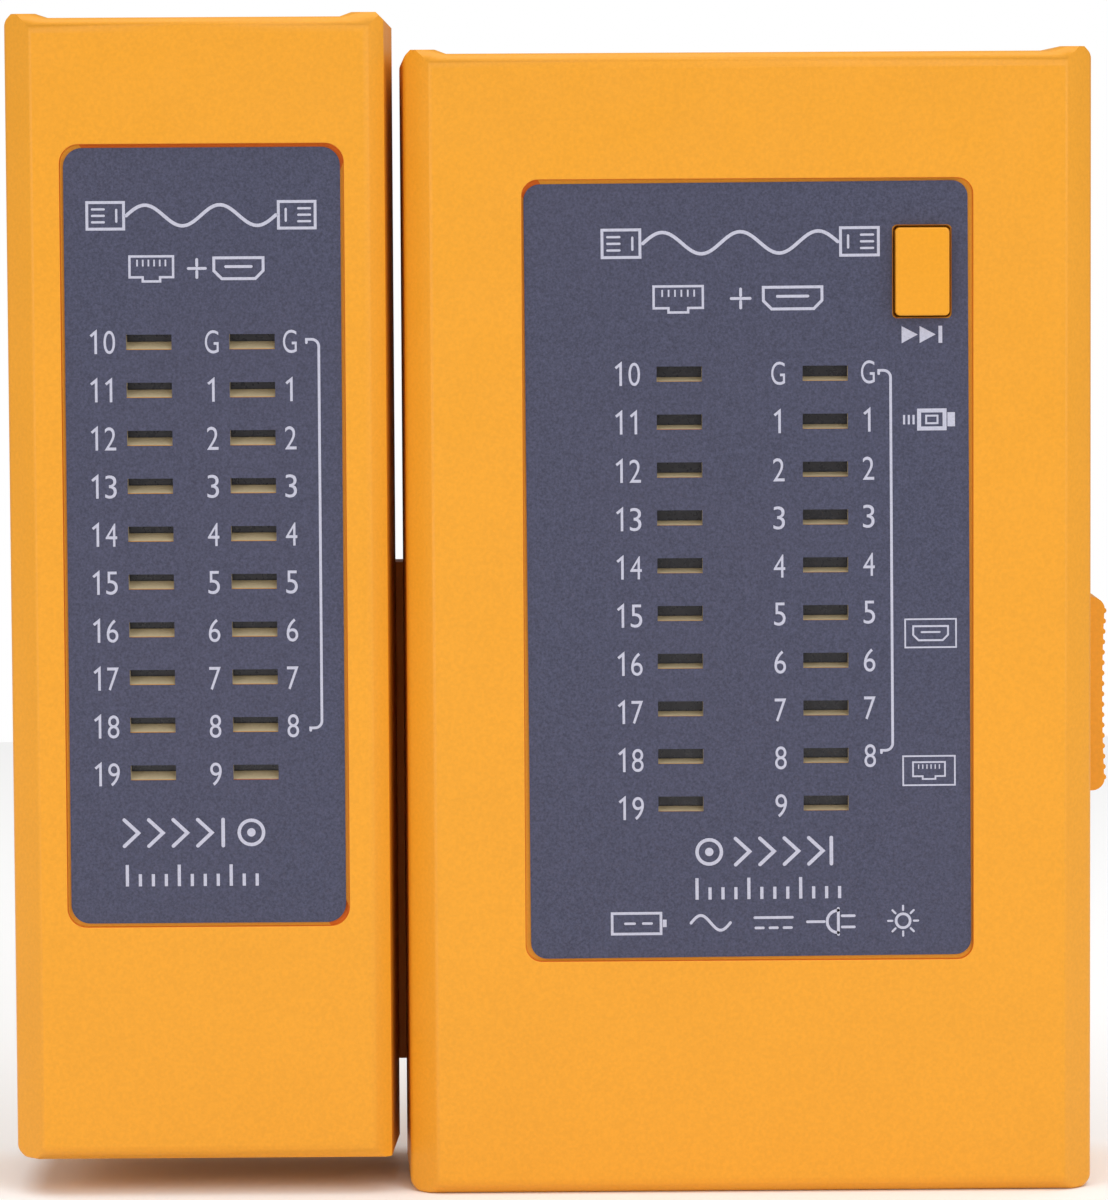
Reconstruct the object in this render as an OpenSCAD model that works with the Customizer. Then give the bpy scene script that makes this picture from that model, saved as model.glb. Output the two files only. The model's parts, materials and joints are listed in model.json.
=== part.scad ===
/* Two-piece network cable tester: a master unit with a remote unit docked on its left side.
   Millimetres, +Z up, fronts facing -Y. Each unit is drawn in its own frame: x = 0 in the middle of
   its width, y = 0 at its front face, z = 0 at its bottom end. master_frame() and remote_frame()
   place the units, so that the whole assembly stands centred over the origin. */

/* [Cases] */
// Height of both cases, without the corner pads on the top end
case_h = 121.4; // [115:0.2:135]
// Depth of both cases, front face to back face
case_d = 32; // [32:0.5:38]
// Width of the master case at the parting line
master_w = 74.1; // [73.5:0.1:82]
// Width of the remote case at the parting line
remote_w = 41.3; // [41.1:0.1:50]
// Wall thickness
wall = 2; // [1.8:0.1:2.2]
// Width of the 45 degree chamfer along the long edges
side_chamfer = 3; // [1.5:0.1:3.3]
// Width of the narrower front chamfer on the remote's docking side
dock_chamfer = 1.8; // [1.5:0.1:3.3]
// Chamfer along the short edges
end_chamfer = 1.2; // [0.5:0.1:1.5]
// Cut across each corner of the outline
corner_cut = 1.4; // [0.8:0.1:2]
// Taper of each side wall from the parting line to the chamfer
draft = 0.6; // [0.3:0.1:0.9]
// Height of the raised corner pads on the top end
pad_h = 0.45; // [0.3:0.05:0.8]

/* [Overlay and windows] */
// Width of the master's overlay
master_overlay_w = 46.9; // [46:0.1:50]
// Width of the remote's overlay
remote_overlay_w = 29.2; // [28:0.1:31]
// Height of both overlays
overlay_h = 82.3; // [80:0.1:84]
// Distance from the case's top end down to the overlay
overlay_drop = 13.7; // [13:0.1:15]
// Pitch of the ten LED rows
led_pitch = 5.08; // [4.8:0.02:5.2]
// Width of one LED window
window_w = 4.8; // [4.2:0.1:5]
// Height of one LED window
window_h = 1.6; // [1.4:0.1:2]

/* [Controls] */
// Width of the function button
button_w = 5.7; // [5:0.1:6.5]
// Height of the function button
button_h = 9.3; // [8:0.1:10]
// How far the function button stands out of the front face
button_proud = 0.8; // [0.6:0.1:1.5]
// Length of the slide knob
knob_l = 21; // [20.6:0.1:24]
// How far the slide knob stands out of the case
knob_out = 2; // [1.4:0.1:2.4]
// Travel of the slide knob each way from its middle position
knob_travel = 2.5; // [1:0.1:3]

/* [Docking] */
// Gap between the two cases
dock_gap = 0.8; // [0.6:0.1:1.2]
// Height of the remote's bottom end above the master's
remote_lift = 4; // [0:0.1:40]
// Lowest point of the dock rail
rail_z = 11.9; // [10:0.1:20]
// Length of the dock rail
rail_l = 54.6; // [40:0.1:56]

/* [Hidden] */
$fn = 48;
eps = 0.01;

// Where the units stand
total_w = remote_w + dock_gap + master_w + knob_out;
remote_x = -total_w / 2 + remote_w / 2;
master_x = total_w / 2 - knob_out - master_w / 2;
face_y = -(case_d - button_proud) / 2;

// Case details
part_y = case_d / 2;
corner_pad_w = 4;
corner_pad_ramp = 1.2;
lip_t = 0.8;
lip_h = 1.2;
lip_gap = 0.1;
clear = 0.2;

// Overlays: each lies in a recess; the master's is stuck on a quarter of a degree askew
recess_d = 0.6;
overlay_t = 0.25;
recess_extra = 0.7;
master_overlay_x = -0.15;
remote_overlay_x = 0.8;
master_overlay_tilt = 0.25;
master_overlay_r = 1.7;
remote_overlay_r = 2;
overlay_mid_z = case_h - overlay_drop - overlay_h / 2;

// LED windows: column positions from the case's middle, and the top row's height
led_rows = 10;
master_columns = [-7.4, 8.05];
remote_columns = [-4.95, 5.95];
master_top_row_z = case_h - 33.9;
remote_top_row_z = case_h - 34.2;
master_sill = 0.45;
remote_sill = 0.85;
led_w = 5;
led_t = 2;
led_face_y = wall + 0.3;

// Boards
board_y = 8;
board_t = 1.6;
board_back = board_y + board_t;
board_z = 3.5;
board_top = case_h - 3.5;
master_board_w = master_w - 7.2;
remote_board_w = remote_w - 6.2;

// Case screws go in from the back, through a post on the back shell into a boss on the front shell
master_screws = [for (x = [-1, 1], z = [5.1, case_h - 27.5]) [x * (master_w / 2 - 6.3), z]];
remote_screws = [[0, 9], [0, case_h - 26.5]];
boss_r = 2.6;
post_r = 3.4;
screw_r = 1.25;
pilot_r = 1.3;
screw_hole_r = 1.45;
screw_seat_y = case_d - 7;
screw_tip_y = 9;
head_r = 2.3;
head_t = 1.8;
head_hole_r = 2.5;

// Board screws hold each board on four or two stand-offs on the front shell
master_board_screw_points = [
    [-27, case_h - 9.5],
    [27, case_h - 9.5],
    [-29, 41],
    [29, 41]
];
remote_board_screw_points = [[-13.5, case_h - 25.5], [13.5, 12]];
standoff_r = 2.2;
small_screw_r = 0.85;
small_pilot_r = 0.9;
small_head_r = 1.8;
small_head_t = 1.2;

// Function button and the tactile switch under it
button_x = 18.3;
button_z = case_h - 23.2;
button_gap = 0.2;
button_flange_y = wall + 0.2;
button_flange_t = 1;
tactile_w = 6;
tactile_h = 3.6;
plunger_r = 1.75;
plunger_y = board_y - tactile_h - 0.5;

// Slide knob and the slide switch behind it
knob_z = 52.2;
knob_w = 8;
knob_gap = 0.25;
knob_neck_l = 8;
knob_neck_w = 4.4;
knob_rib_count = 17;
knob_rib_pitch = 1.13;
knob_rib_r = 0.3;
knob_dish = 0.3;
knob_end_r = 1.4;

// Sockets on the top ends, soldered to the backs of the boards
network_w = 16;
network_h = 13.4;
network_l = 18;
network_open_w = 11.9;
network_open_h = 8.2;
display_w = 15;
display_h = 5.8;
display_l = 11.6;
display_wall = 0.4;
socket_sink = 0.3;
master_network_x = -14;
master_display_x = 11;
remote_network_x = -8.4;
remote_display_x = 8.6;

// Power inlet on the master's right side
power_z = 82;
power_w = 7.8;
power_h = 2.9;
power_l = 5.6;

// Battery compartment in the master's back shell, with its door
bay_x = 27;
bay_z = [9, 36.8];
bay_y = board_back + 2.6;
bay_wall = 1.2;
door_rest = 0.8;
door_gap = 0.2;
door_t = 2;
door_top = bay_z[1] + door_rest;
door_tab_w = 8;

// Battery, lying along X with its terminals towards -X
battery_size = [46, 17, 26];
battery_end = bay_x - 0.4 - battery_size[0];
battery_y = bay_y + 0.2;
battery_z = bay_z[0] + 0.3;
terminal_offset = 6.35;
terminal_l = 2.6;
snap_t = 4.5;

// Dock rail: foot in a pocket in the master's left wall, neck across the gap, head in the groove
rail_y = part_y + 5.7;
rail_foot = 9.6;
rail_neck = 5;
rail_head = 9;
rail_foot_x = -master_w / 2 + 1.3;
rail_neck_x = -master_w / 2 + 0.3;
rail_head_x = -master_w / 2 - 2.4;
rail_end_x = -master_w / 2 - 3.9;
rail_pad = 1;
rail_screw_z = [rail_z + 10.4, rail_z + rail_l - 10.4];
dock_shift = master_w / 2 + dock_gap + remote_w / 2;
dock_clear = 0.3;
groove_wall = 1.3;
groove_top = rail_z + rail_l + dock_clear;

module master_frame() {
    translate([master_x, face_y, 0]) children();
}

module remote_frame() {
    translate([remote_x, face_y, remote_lift]) children();
}

// ---- Shared shapes ----

// Right half of a case's cross-section from above, set in from the outer surface by inset
function half_plan(w, inset, front_chamfer) = let (
    half = w / 2,
    turn = inset * tan(22.5),
    side = half - draft - inset
) [
    [half - front_chamfer - draft - turn, inset],
    [side, front_chamfer + turn],
    [half - inset, part_y],
    [side, case_d - side_chamfer - turn],
    [half - side_chamfer - draft - turn, case_d - inset]
];

// Cross-section of a case; docked gives its right side the narrower front chamfer
module case_plan(w, inset, docked) {
    right = half_plan(w, inset, docked ? dock_chamfer : side_chamfer);
    left = half_plan(w, inset, side_chamfer);
    polygon(concat(right, [for (i = [len(left) - 1:-1:0]) [-left[i][0], left[i][1]]]));
}

// Outline of a case from the front, with the pads at its top corners; docked leaves the lower right
// corner square
module case_outline(w, docked) {
    half = w / 2;
    top = case_h + pad_h;
    pad = half - corner_pad_w;
    ramp = pad - corner_pad_ramp;
    low_right = docked ? [[half, 0]] : [[half - corner_cut, 0], [half, corner_cut]];
    polygon(concat(
        [[-half, corner_cut], [-half + corner_cut, 0]],
        low_right,
        [[half, top - corner_cut], [half - corner_cut, top], [pad, top], [ramp, case_h]],
        [[-ramp, case_h], [-pad, top], [-half + corner_cut, top], [-half, top - corner_cut]]
    ));
}

// Side profile of a case, with the chamfers along its short edges
module case_profile() {
    top = case_h + pad_h;
    polygon([
        [0, end_chamfer],
        [end_chamfer, 0],
        [case_d - end_chamfer, 0],
        [case_d, end_chamfer],
        [case_d, case_h - end_chamfer],
        [case_d - end_chamfer - pad_h, top],
        [end_chamfer + pad_h, top],
        [0, case_h - end_chamfer]
    ]);
}

// Whole outside of a case
module case_body(w, docked) {
    intersection() {
        linear_extrude(case_h + pad_h) case_plan(w, 0, docked);
        translate([0, case_d, 0]) rotate([90, 0, 0]) linear_extrude(case_d) case_outline(w, docked);
        translate([-w / 2, 0, 0]) rotate([90, 0, 90]) linear_extrude(w) case_profile();
    }
}

// Hollow inside of a case
module case_cavity(w, docked) {
    translate([0, 0, wall]) linear_extrude(case_h - 2 * wall) case_plan(w, wall, docked);
}

// Box from one corner to the opposite one
module block(low, high) {
    translate(low) cube(high - low);
}

// Block with square ends round the parting line, used for the lip and its rebate
module lip_block(w, grow, y0, y1) {
    half = w / 2 - wall + grow;
    block([-half, y0, wall - grow], [half, y1, case_h - wall + grow]);
}

// Cylinder along +Y from y0 to y1
module y_cylinder(r, x, z, y0, y1) {
    translate([x, y1, z]) rotate([90, 0, 0]) cylinder(r = r, h = y1 - y0);
}

// Cylinder along +X from x0 to x1
module x_cylinder(r, y, z, x0, x1) {
    translate([x0, y, z]) rotate([0, 90, 0]) cylinder(r = r, h = x1 - x0);
}

// Flat plate with round corners, w by h in X and Z, from y0 to y1
module rounded_plate(w, h, r, y0, y1) {
    translate([0, y1, 0]) rotate([90, 0, 0]) linear_extrude(y1 - y0) union() {
        square([w - 2 * r, h], center = true);
        square([w, h - 2 * r], center = true);
        for (sx = [-1, 1], sz = [-1, 1]) {
            translate([sx * (w / 2 - r), sz * (h / 2 - r)]) circle(r);
        }
    }
}

// Puts its child at every LED position
module led_grid(columns, top_row_z) {
    for (x = columns, row = [0:led_rows - 1]) {
        translate([x, 0, top_row_z - row * led_pitch]) children();
    }
}

// Slot behind one LED window: its lower wall slopes up towards the inside
module led_slot(sill) {
    low = -window_h / 2;
    translate([-window_w / 2, 0, 0]) rotate([90, 0, 90]) linear_extrude(window_w) polygon([
        [recess_d - 0.1, low],
        [wall + 0.1, low + sill],
        [wall + 0.1, window_h / 2],
        [recess_d - 0.1, window_h / 2]
    ]);
}

// Pan-head screw along Y, head towards +Y, with a cross recess
module y_screw(x, z, r, tip_y, seat_y, head_radius, head_height) {
    slot = head_radius * 1.1;
    depth = head_height * 0.5;
    difference() {
        union() {
            y_cylinder(r, x, z, tip_y, seat_y + eps);
            y_cylinder(head_radius, x, z, seat_y, seat_y + head_height);
        }
        for (size = [[slot, 0.5], [0.5, slot]]) {
            translate([x - size[0] / 2, seat_y + head_height - depth, z - size[1] / 2])
                cube([size[0], depth + 1, size[1]]);
        }
    }
}

// ---- Case shells ----

// Front half of a case with its recess, LED slots, lip rebate, bosses and stand-offs
module front_shell(w, recess_w, recess_x, recess_r, columns, top_row_z, sill, screws, board_points, docked) {
    difference() {
        union() {
            difference() {
                intersection() {
                    case_body(w, docked);
                    block([-w, -1, -1], [w, part_y, case_h + 2]);
                }
                case_cavity(w, docked);
                lip_block(w, lip_t, part_y - lip_h - lip_gap, part_y + 1);
            }
            for (p = screws) {
                y_cylinder(boss_r, p[0], p[1], wall - eps, part_y - 0.1);
            }
            for (p = board_points) {
                y_cylinder(standoff_r, p[0], p[1], wall - eps, board_y);
            }
        }
        translate([recess_x, 0, overlay_mid_z])
            rounded_plate(recess_w, overlay_h + recess_extra, recess_r, -1, recess_d);
        led_grid(columns, top_row_z) led_slot(sill);
        for (p = screws) {
            y_cylinder(pilot_r, p[0], p[1], screw_tip_y - 1.5, part_y + 1);
        }
        for (p = board_points) {
            y_cylinder(small_pilot_r, p[0], p[1], wall + 1, board_y + 1);
        }
    }
}

// Back half of a case with its lip and screw posts
module back_shell(w, screws, docked) {
    difference() {
        union() {
            difference() {
                intersection() {
                    case_body(w, docked);
                    block([-w, part_y, -1], [w, case_d + 1, case_h + 2]);
                }
                case_cavity(w, docked);
            }
            difference() {
                lip_block(w, lip_t - lip_gap, part_y - lip_h, part_y + 0.5);
                lip_block(w, 0, part_y - lip_h - 1, part_y + 1);
            }
            for (p = screws) {
                y_cylinder(post_r, p[0], p[1], part_y + 0.1, case_d - wall + eps);
            }
        }
        for (p = screws) {
            y_cylinder(screw_hole_r, p[0], p[1], part_y - 1, screw_seat_y + eps);
            y_cylinder(head_hole_r, p[0], p[1], screw_seat_y, case_d + 1);
        }
    }
}

// Openings in the top end for a network socket at x = a and a display socket at x = b
module socket_cuts(a, b) {
    low = case_h - wall - 1;
    high = case_h + 1;
    network = network_w / 2 + clear;
    display = display_w / 2 + clear;
    block([a - network, board_back - clear, low], [a + network, board_back + network_h + clear, high]);
    block([b - display, board_back - clear, low], [b + display, part_y, high]);
}

// Slot through the right wall that the slide knob's neck runs in
module knob_slot() {
    reach = knob_neck_l / 2 + knob_travel + 0.3;
    half = knob_neck_w / 2 + 0.3;
    block([master_w / 2 - wall - 1, part_y - half, knob_z - reach], [master_w, part_y + half, knob_z + reach]);
}

module master_front_shell() color([0.97, 0.64, 0.22]) master_frame() difference() {
    front_shell(master_w, master_overlay_w + recess_extra, master_overlay_x, master_overlay_r, master_columns,
        master_top_row_z, master_sill, master_screws, master_board_screw_points, false);
    translate([button_x, 0, button_z])
        rounded_plate(button_w + 2 * button_gap, button_h + 2 * button_gap, 0.5, -1, wall + 1);
    socket_cuts(master_network_x, master_display_x);
    knob_slot();
    block([master_w / 2 - wall - 1, board_back - clear, power_z - power_w / 2 - clear],
        [master_w, board_back + power_h + clear, power_z + power_w / 2 + clear]);
}

// Walls and floor of the battery compartment
module bay_walls() {
    block([-bay_x - bay_wall, bay_y - bay_wall, bay_z[0] - bay_wall],
        [bay_x + bay_wall, case_d - wall + eps, bay_z[1] + bay_wall]);
}

module bay_space() {
    block([-bay_x, bay_y, bay_z[0]], [bay_x, case_d - wall + 1, bay_z[1]]);
}

// Opening that the battery door lies in, with room inside its top edge for the door's tabs
module door_space() {
    half = bay_x + door_rest + door_gap;
    block([-half, case_d - wall, bay_z[0] - door_rest - door_gap],
        [half, case_d + 1, door_top + door_gap]);
    for (side = [-1, 1]) {
        block([side * 14 - door_tab_w / 2 - 0.5, case_d - wall - 2.5, bay_z[1] - 1],
            [side * 14 + door_tab_w / 2 + 0.5, case_d - wall + eps, door_top + 3]);
    }
}

module master_back_shell() color([0.97, 0.64, 0.22]) master_frame() difference() {
    union() {
        back_shell(master_w, master_screws, false);
        bay_walls();
        block([-master_w / 2 + wall - 0.3, rail_y - rail_foot / 2, rail_z - 1],
            [-master_w / 2 + wall + rail_pad, case_d - wall, rail_z + rail_l + 1]);
    }
    bay_space();
    door_space();
    socket_cuts(master_network_x, master_display_x);
    knob_slot();
    block([-master_w, rail_y - rail_foot / 2, rail_z], [rail_foot_x, rail_y + rail_foot / 2, rail_z + rail_l]);
    for (z = rail_screw_z) {
        x_cylinder(small_pilot_r + 0.1, rail_y, z, -master_w / 2, -master_w / 2 + wall + 4);
    }
    translate([-bay_x + 0.05, bay_y + 3, bay_z[1] - 1]) cube([3.2, 4, bay_wall + 2]);
}

module remote_front_shell() color([0.97, 0.64, 0.22]) remote_frame() difference() {
    front_shell(remote_w, remote_overlay_w + recess_extra, remote_overlay_x, remote_overlay_r, remote_columns,
        remote_top_row_z, remote_sill, remote_screws, remote_board_screw_points, true);
    socket_cuts(remote_network_x, remote_display_x);
}

// T-groove in the remote's right wall, open at the bottom end
module dock_groove() {
    neck = rail_neck / 2 + dock_clear;
    head = rail_head / 2 + dock_clear;
    face = rail_head_x + dock_shift + dock_clear;
    floor_x = rail_end_x + dock_shift - dock_clear;
    block([face - eps, rail_y - neck, -1], [remote_w, rail_y + neck, groove_top]);
    block([floor_x, rail_y - head, -1], [face, rail_y + head, groove_top]);
}

module remote_back_shell() color([0.97, 0.64, 0.22]) remote_frame() difference() {
    union() {
        back_shell(remote_w, remote_screws, true);
        intersection() {
            case_body(remote_w, true);
            block([rail_end_x + dock_shift - dock_clear - groove_wall, part_y, 0],
                [remote_w, case_d - wall + eps, groove_top + groove_wall]);
        }
    }
    dock_groove();
    socket_cuts(remote_network_x, remote_display_x);
}

// ---- Overlays ----

module overlay(w, x, tilt, r, columns, top_row_z) {
    difference() {
        translate([x, 0, overlay_mid_z]) rotate([0, -tilt, 0])
            rounded_plate(w, overlay_h, r, recess_d - overlay_t, recess_d);
        led_grid(columns, top_row_z)
            block([-window_w / 2, 0, -window_h / 2], [window_w / 2, wall, window_h / 2]);
    }
}

module master_overlay() color([0.33, 0.34, 0.41]) master_frame() difference() {
    overlay(master_overlay_w, master_overlay_x, master_overlay_tilt, master_overlay_r, master_columns,
        master_top_row_z);
    translate([button_x, 0, button_z])
        rounded_plate(button_w + 3 * button_gap, button_h + 3 * button_gap, 0.5, -1, wall);
}

module remote_overlay() color([0.33, 0.34, 0.41]) remote_frame() {
    overlay(remote_overlay_w, remote_overlay_x, 0, remote_overlay_r, remote_columns, remote_top_row_z);
}

// ---- Function button ----

module function_button() color([0.97, 0.66, 0.2]) master_frame() translate([button_x, 0, button_z]) {
    rounded_plate(button_w, button_h, 0.5, -button_proud, button_flange_y + eps);
    rounded_plate(button_w + 2.4, button_h + 2.4, 0.6, button_flange_y, button_flange_y + button_flange_t);
    y_cylinder(2, 0, 0, button_flange_y + 0.5, plunger_y - 0.05);
}

module switch_plunger() color([0.12, 0.12, 0.13]) master_frame() {
    y_cylinder(plunger_r, button_x, button_z, plunger_y, board_y - 2.2);
}

module tactile_switch() color([0.7, 0.7, 0.72]) master_frame() difference() {
    translate([button_x - tactile_w / 2, board_y - tactile_h, button_z - tactile_w / 2])
        cube([tactile_w, tactile_h, tactile_w]);
    y_cylinder(plunger_r + 0.08, button_x, button_z, board_y - tactile_h - 1, board_y - 1.4);
}

// ---- Slide switch ----

// How deep the dished outer face of the knob lies at distance z from its middle
function dish_at(z) = knob_dish * (1 - pow(2 * z / knob_l, 2));

// Side view of the knob's outer plate, with round outer corners
module knob_plate(thick) {
    half = knob_l / 2;
    steps = 6;
    upper = [for (i = [0:steps]) let (a = i * 90 / steps) [
        thick - knob_end_r * (1 - cos(a)),
        half - knob_end_r * (1 - sin(a))
    ]];
    lower = [for (i = [steps:-1:0]) [upper[i][0], -upper[i][1]]];
    polygon(concat([[0, -half]], lower, upper, [[0, half]]));
}

module slide_knob() color([0.97, 0.64, 0.22]) master_frame() translate([master_w / 2, part_y, knob_z]) {
    face = knob_out - knob_rib_r / 2;
    ribs = (knob_rib_count - 1) / 2;
    dish_r = (knob_l * knob_l / 4 + knob_dish * knob_dish) / (2 * knob_dish);
    half_w = knob_w / 2;
    difference() {
        union() {
            difference() {
                translate([knob_gap, half_w, 0]) rotate([90, 0, 0]) linear_extrude(knob_w)
                    knob_plate(face - knob_gap);
                translate([face - knob_dish + dish_r, half_w + 1, 0]) rotate([90, 0, 0])
                    cylinder(r = dish_r, h = knob_w + 2, $fn = 200);
            }
            for (i = [-ribs:ribs]) {
                z = i * knob_rib_pitch;
                sink = dish_at(z) - dish_at(ribs * knob_rib_pitch);
                y_cylinder(knob_rib_r, knob_out - knob_rib_r - sink, z, -half_w, half_w);
            }
            block([-wall - 0.4, -knob_neck_w / 2, -knob_neck_l / 2],
                [knob_gap + 0.3, knob_neck_w / 2, knob_neck_l / 2]);
            block([-wall - 0.8, -knob_neck_w / 2 - 1.1, -knob_neck_l / 2 - 4],
                [-wall - 0.3, knob_neck_w / 2 + 1.1, knob_neck_l / 2 + 4]);
        }
        block([-wall - 1, -1.6, -1.6], [-0.4, 1.6, 1.6]);
    }
}

module switch_actuator() color([0.93, 0.93, 0.9]) master_frame() translate([master_w / 2, part_y, knob_z]) {
    block([-7, -1.5, -1.5], [-0.5, 1.5, 1.5]);
}

module slide_switch() color([0.75, 0.76, 0.78]) master_frame() {
    reach = 1.5 + knob_travel + 0.3;
    difference() {
        block([master_w / 2 - 10.5, board_back, knob_z - 7.5],
            [master_w / 2 - 4.2, part_y + 2.6, knob_z + 7.5]);
        block([master_w / 2 - 7.4, part_y - 1.7, knob_z - reach],
            [master_w / 2, part_y + 1.7, knob_z + reach]);
    }
}

// ---- Boards and what is soldered to them ----

module board(w, screws, board_points) {
    difference() {
        block([-w / 2, board_y, board_z], [w / 2, board_back, board_top]);
        for (p = screws) {
            y_cylinder(boss_r + 0.7, p[0], p[1], board_y - 1, board_back + 1);
        }
        for (p = board_points) {
            y_cylinder(small_pilot_r + 0.25, p[0], p[1], board_y - 1, board_back + 1);
        }
    }
}

module master_board() color([0.1, 0.4, 0.22]) master_frame() {
    board(master_board_w, master_screws, master_board_screw_points);
}

module remote_board() color([0.1, 0.4, 0.22]) remote_frame() {
    board(remote_board_w, remote_screws, remote_board_screw_points);
}

// One rectangular LED standing on the front of a board
module led() {
    block([-led_w / 2, led_face_y, -led_t / 2], [led_w / 2, board_y - 0.6, led_t / 2]);
    block([-led_w / 2 - 0.2, board_y - 0.7, -led_t / 2 - 0.2], [led_w / 2 + 0.2, board_y, led_t / 2 + 0.2]);
}

module master_leds() color([0.25, 0.25, 0.28]) master_frame() {
    led_grid(master_columns, master_top_row_z) led();
}

module remote_leds() color([0.25, 0.25, 0.28]) remote_frame() {
    led_grid(remote_columns, remote_top_row_z) led();
}

// Surface-mounted chip with its legs along X, centred at x, z on the back of the board
module chip(x, z, l, w, t, legs) {
    leg_pitch = 1.27;
    translate([x, board_back, z]) {
        block([-l / 2, 0.15, -w / 2], [l / 2, t, w / 2]);
        for (i = [0:legs - 1]) {
            translate([(i - (legs - 1) / 2) * leg_pitch - 0.2, 0, -w / 2 - 1]) cube([0.4, 0.6, w + 2]);
        }
    }
}

module master_chips() color([0.1, 0.1, 0.11]) master_frame() {
    chip(0, 66, 18, 7.5, 2.4, 14);
    chip(-13, 50, 10, 4, 1.6, 8);
    chip(5, 50, 10, 4, 1.6, 8);
}

// A resistor beside each LED, on the back of the board
module resistors(columns, top_row_z, x_offset) {
    led_grid(columns, top_row_z)
        block([x_offset - 0.8, board_back, -0.65], [x_offset + 0.8, board_back + 0.55, 0.65]);
}

module master_resistors() color([0.15, 0.15, 0.16]) master_frame() {
    resistors([-20, 20], master_top_row_z + 2, 0);
}

module remote_resistors() color([0.15, 0.15, 0.16]) remote_frame() {
    resistors([-11, 9], remote_top_row_z, 0);
}

module master_capacitor() color([0.15, 0.2, 0.4]) master_frame() {
    y_cylinder(3.1, -27, 76, board_back, board_back + 7.5);
}

// Network socket: housing with its plug cavity and the latch notch towards the back
module network_socket(x) {
    top = case_h - socket_sink;
    cavity_y = board_back + 1.5;
    translate([x, 0, 0]) difference() {
        block([-network_w / 2, board_back, top - network_l], [network_w / 2, board_back + network_h, top]);
        block([-network_open_w / 2, cavity_y, top - 15],
            [network_open_w / 2, cavity_y + network_open_h, top + 1]);
        block([-3.2, cavity_y, top - 15], [3.2, cavity_y + network_open_h + 1.6, top + 1]);
        block([-1.9, cavity_y, top - 15], [1.9, cavity_y + network_open_h + 2.8, top + 1]);
    }
}

// Its eight contacts, each a spring leg that slopes into the cavity
module network_contacts(x) {
    contact_pitch = 1.02;
    top = case_h - socket_sink;
    cavity_y = board_back + 1.5;
    for (i = [-3.5:3.5]) {
        translate([x + i * contact_pitch - 0.18, 0, 0]) rotate([90, 0, 90]) linear_extrude(0.36) polygon([
            [cavity_y + 0.05, top - 3.4],
            [cavity_y + 0.5, top - 3],
            [cavity_y + 2.2, top - 13.2],
            [cavity_y + 0.3, top - 14.9],
            [cavity_y + 0.05, top - 14.9],
            [cavity_y + 1.7, top - 13.2]
        ]);
    }
}

// Outline of the display socket's metal shell: a rectangle whose lower corners slope in
module display_outline(inset) {
    half = display_w / 2 - inset;
    low = inset;
    high = display_h - inset;
    polygon([
        [-half, high],
        [-half, 2.6],
        [-half + 1.9, low],
        [half - 1.9, low],
        [half, 2.6],
        [half, high]
    ]);
}

module display_socket(x) {
    top = case_h - socket_sink;
    translate([x, board_back, top - display_l]) difference() {
        linear_extrude(display_l) display_outline(0);
        translate([0, 0, 1]) linear_extrude(display_l) display_outline(display_wall);
    }
}

// Contact tongue of the display socket, standing on the socket's floor
module display_tongue(x) {
    top = case_h - socket_sink;
    translate([x, board_back, top - display_l + 1.05]) {
        block([-6.9, 2.7, 0], [6.9, 5.2, 3]);
        block([-5.5, 3, 2.9], [5.5, 4.3, display_l - 2.4]);
    }
}

module master_network_socket() color([0.13, 0.13, 0.14]) master_frame() network_socket(master_network_x);

module master_network_contacts() color([0.85, 0.7, 0.3]) master_frame() network_contacts(master_network_x);

module master_display_socket() color([0.8, 0.8, 0.82]) master_frame() display_socket(master_display_x);

module master_display_tongue() color([0.1, 0.1, 0.1]) master_frame() display_tongue(master_display_x);

module remote_network_socket() color([0.13, 0.13, 0.14]) remote_frame() network_socket(remote_network_x);

module remote_network_contacts() color([0.85, 0.7, 0.3]) remote_frame() network_contacts(remote_network_x);

module remote_display_socket() color([0.8, 0.8, 0.82]) remote_frame() display_socket(remote_display_x);

module remote_display_tongue() color([0.1, 0.1, 0.1]) remote_frame() display_tongue(remote_display_x);

// Power inlet, its mouth in the right wall
module power_inlet() color([0.8, 0.8, 0.82]) master_frame() {
    mouth = master_w / 2 - 0.5;
    translate([mouth - power_l, board_back, power_z - power_w / 2]) difference() {
        cube([power_l, power_h, power_w]);
        translate([1, 0.3, 0.3]) cube([power_l, power_h - 0.6, power_w - 0.6]);
    }
}

module power_tongue() color([0.1, 0.1, 0.1]) master_frame() {
    mouth = master_w / 2 - 0.5;
    block([mouth - power_l + 1, board_back + 1.1, power_z - 2], [mouth - 0.8, board_back + 1.7, power_z + 2]);
}

// ---- Battery and its door ----

module battery_door() color([0.97, 0.64, 0.22]) master_frame() {
    half = bay_x + door_rest;
    bottom = bay_z[0] - door_rest;
    inner = case_d - wall;
    difference() {
        union() {
            block([-half, inner, bottom], [half, inner + door_t, door_top]);
            for (side = [-1, 1]) {
                block([side * 14 - door_tab_w / 2, inner - 1, bay_z[1] - 0.2],
                    [side * 14 + door_tab_w / 2, inner - 0.15, door_top + 1.6]);
                block([side * 14 - door_tab_w / 2, inner - 0.2, bay_z[1] - 0.6],
                    [side * 14 + door_tab_w / 2, inner + eps, bay_z[1] + 0.5]);
            }
        }
        for (i = [0:5]) {
            translate([0, inner + door_t + 0.35, bottom + 4 + i * 2]) rotate([0, 90, 0])
                cylinder(r = 0.8, h = 16 - i, center = true);
        }
    }
}

module battery() color([0.15, 0.16, 0.2]) master_frame() {
    translate([battery_end, battery_y, battery_z]) cube(battery_size);
}

// Middle of the battery's terminal face
terminal_y = battery_y + battery_size[1] / 2;
terminal_z = battery_z + battery_size[2] / 2;

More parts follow.
